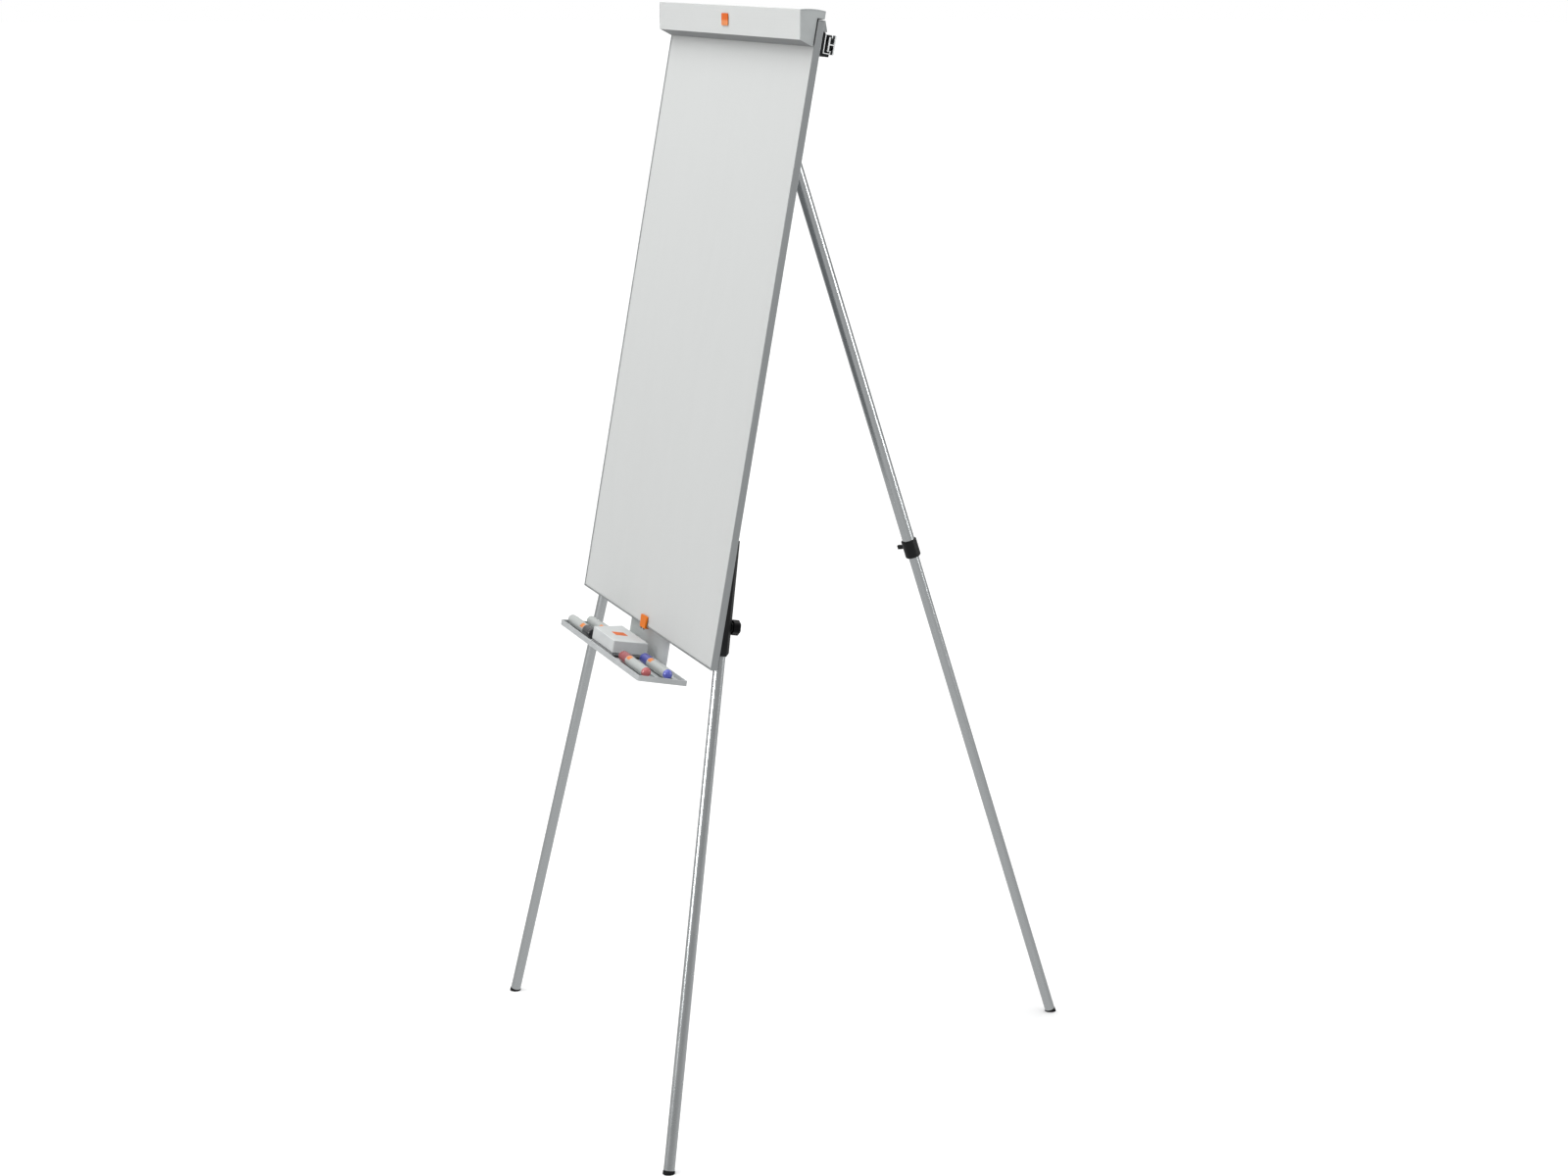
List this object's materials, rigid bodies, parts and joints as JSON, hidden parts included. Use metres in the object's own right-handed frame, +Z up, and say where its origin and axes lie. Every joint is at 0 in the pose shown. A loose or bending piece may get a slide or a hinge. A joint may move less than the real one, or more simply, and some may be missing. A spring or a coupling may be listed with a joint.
{
  "type": "flipchart easel",
  "caption": "Tripod flipchart easel with a leaning white writing board, hinged pad clamp, telescoping legs, sliding display arms and a pen tray.",
  "frame": {"origin": "on the floor, at the middle of the easel's bounding box", "axes": "+Z up, the writing side faces -Y, +X to the right of a person who looks at the writing side"},
  "size_m": [0.9404, 0.9228, 1.8418],
  "materials": {
    "enamel": "gloss white enamel",
    "core": "raw board",
    "back_sheet": "satin",
    "frame": "satin anodised",
    "clamp_shell": "pale satin",
    "clamp_cap": "matt light grey",
    "rubber": "matt black",
    "rail": "satin",
    "steel": "bright",
    "orange": "satin orange",
    "grey_plastic": "matt",
    "black_plastic": "fine grain",
    "leg_tube": "satin anodised",
    "tray_plastic": "matt light grey",
    "bracket_plate": "satin grey",
    "eraser_plastic": "matt pale grey",
    "felt": "dense felt",
    "marker_body": "satin off-white",
    "ink_black": "satin",
    "ink_green": "satin",
    "ink_red": "satin",
    "ink_blue": "satin"
  },
  "bodies": {
    "board": {"writing_surface": "enamel", "board_core": "core", "back_sheet": "back_sheet", "frame_rail_bottom": "frame", "frame_rail_top": "frame", "frame_rail_left": "frame", "frame_rail_right": "frame", "clamp_hinge_leaf": "rail", "clamp_hinge_pin": "steel", "clamp_spring_left": "steel", "clamp_spring_right": "steel", "pad_hook_rail": "grey_plastic", "arm_rail": "rail", "arm_rail_bracket_left": "black_plastic", "arm_rail_bracket_right": "black_plastic", "leg_housing_left": "black_plastic", "leg_housing_right": "black_plastic", "rear_hinge_bracket": "black_plastic", "rear_hinge_pin": "steel", "pen_tray": "tray_plastic", "tray_bracket": "bracket_plate"},
    "clamp": {"clamp_bar": "clamp_shell", "clamp_end_cap_left": "clamp_cap", "clamp_end_cap_right": "clamp_cap", "clamp_grip_strip": "rubber", "clamp_badge": "orange"},
    "pad_hook_left": {"pad_hook_left": "black_plastic"},
    "pad_hook_right": {"pad_hook_right": "black_plastic"},
    "display_arm_left": {"display_arm_left": "rail"},
    "display_arm_right": {"display_arm_right": "rail"},
    "front_leg_left": {"front_leg_tube_left": "leg_tube", "front_leg_plug_left": "black_plastic", "front_foot_left": "rubber"},
    "front_leg_right": {"front_leg_tube_right": "leg_tube", "front_leg_plug_right": "black_plastic", "front_foot_right": "rubber"},
    "leg_knob_left": {"leg_knob_left": "black_plastic"},
    "leg_knob_right": {"leg_knob_right": "black_plastic"},
    "rear_leg": {"rear_hinge_plug": "black_plastic", "rear_upper_tube": "leg_tube", "rear_collar": "black_plastic"},
    "rear_leg_lower": {"rear_lower_tube": "leg_tube", "rear_tube_bush": "black_plastic", "rear_foot": "rubber"},
    "collar_screw": {"collar_thumb_screw": "black_plastic"},
    "eraser": {"eraser_grip": "eraser_plastic", "eraser_felt": "felt"},
    "marker_black": {"marker_black_barrel": "marker_body", "marker_black_cap": "ink_black", "marker_black_end_plug": "ink_black"},
    "marker_green": {"marker_green_barrel": "marker_body", "marker_green_cap": "ink_green", "marker_green_end_plug": "ink_green"},
    "marker_red": {"marker_red_barrel": "marker_body", "marker_red_cap": "ink_red", "marker_red_end_plug": "ink_red"},
    "marker_blue": {"marker_blue_barrel": "marker_body", "marker_blue_cap": "ink_blue", "marker_blue_end_plug": "ink_blue"},
    "paper_clip": {"paper_clip": "orange"}
  },
  "joints": [
    {"name": "clamp_open", "type": "hinge", "parent": "board", "child": "clamp", "pos_m": [0, -0.14475, 1.8276], "axis": [-1, 0, 0], "range_deg": [0, 70], "stiffness_Nm_per_rad": 0.35, "springref_deg": -40.11},
    {"name": "pad_hook_left_slide", "type": "slide", "parent": "board", "child": "pad_hook_left", "axis": [-1, 0, 0], "range_m": [-0.026, 0.146]},
    {"name": "pad_hook_right_slide", "type": "slide", "parent": "board", "child": "pad_hook_right", "axis": [1, 0, 0], "range_m": [-0.026, 0.146]},
    {"name": "display_arm_left_slide", "type": "slide", "parent": "board", "child": "display_arm_left", "axis": [-1, 0, 0], "range_m": [0, 0.3]},
    {"name": "display_arm_right_slide", "type": "slide", "parent": "board", "child": "display_arm_right", "axis": [1, 0, 0], "range_m": [0, 0.3]},
    {"name": "front_leg_left_slide", "type": "slide", "parent": "board", "child": "front_leg_left", "axis": [0.181, 0.173, 0.9682], "range_m": [0, 0.776]},
    {"name": "front_leg_right_slide", "type": "slide", "parent": "board", "child": "front_leg_right", "axis": [-0.181, 0.173, 0.9682], "range_m": [0, 0.776]},
    {"name": "leg_knob_left_turn", "type": "hinge", "parent": "board", "child": "leg_knob_left", "pos_m": [-0.29956, -0.29779, 0.85903], "axis": [0, 0.9844, -0.1759], "range_deg": [0, 360]},
    {"name": "leg_knob_right_turn", "type": "hinge", "parent": "board", "child": "leg_knob_right", "pos_m": [0.29956, -0.29779, 0.85903], "axis": [0, 0.9844, -0.1759], "range_deg": [0, 360]},
    {"name": "rear_leg_fold", "type": "hinge", "parent": "board", "child": "rear_leg", "pos_m": [0, -0.11217, 1.74274], "axis": [-1, 0, 0], "range_deg": [0, 28]},
    {"name": "rear_leg_slide", "type": "slide", "parent": "rear_leg", "child": "rear_leg_lower", "axis": [0, -0.3075, 0.9516], "range_m": [0, 0.75]},
    {"name": "collar_screw_turn", "type": "hinge", "parent": "rear_leg", "child": "collar_screw", "pos_m": [-0.01559, 0.15091, 0.89927], "axis": [-0.866, -0.4758, -0.1537], "range_deg": [0, 180]},
    {"name": "eraser_lift", "type": "slide", "parent": "board", "child": "eraser", "axis": [0, 0.1759, 0.9844], "range_m": [0, 0.12]},
    {"name": "marker_black_lift", "type": "slide", "parent": "board", "child": "marker_black", "axis": [0, 0.1759, 0.9844], "range_m": [0, 0.12]},
    {"name": "marker_green_lift", "type": "slide", "parent": "board", "child": "marker_green", "axis": [0, 0.1759, 0.9844], "range_m": [0, 0.12]},
    {"name": "marker_red_lift", "type": "slide", "parent": "board", "child": "marker_red", "axis": [0, 0.1759, 0.9844], "range_m": [0, 0.12]},
    {"name": "marker_blue_lift", "type": "slide", "parent": "board", "child": "marker_blue", "axis": [0, 0.1759, 0.9844], "range_m": [0, 0.12]},
    {"name": "paper_clip_slide", "type": "slide", "parent": "board", "child": "paper_clip", "axis": [0, -0.1759, -0.9844], "range_m": [0, 0.03]}
  ]
}
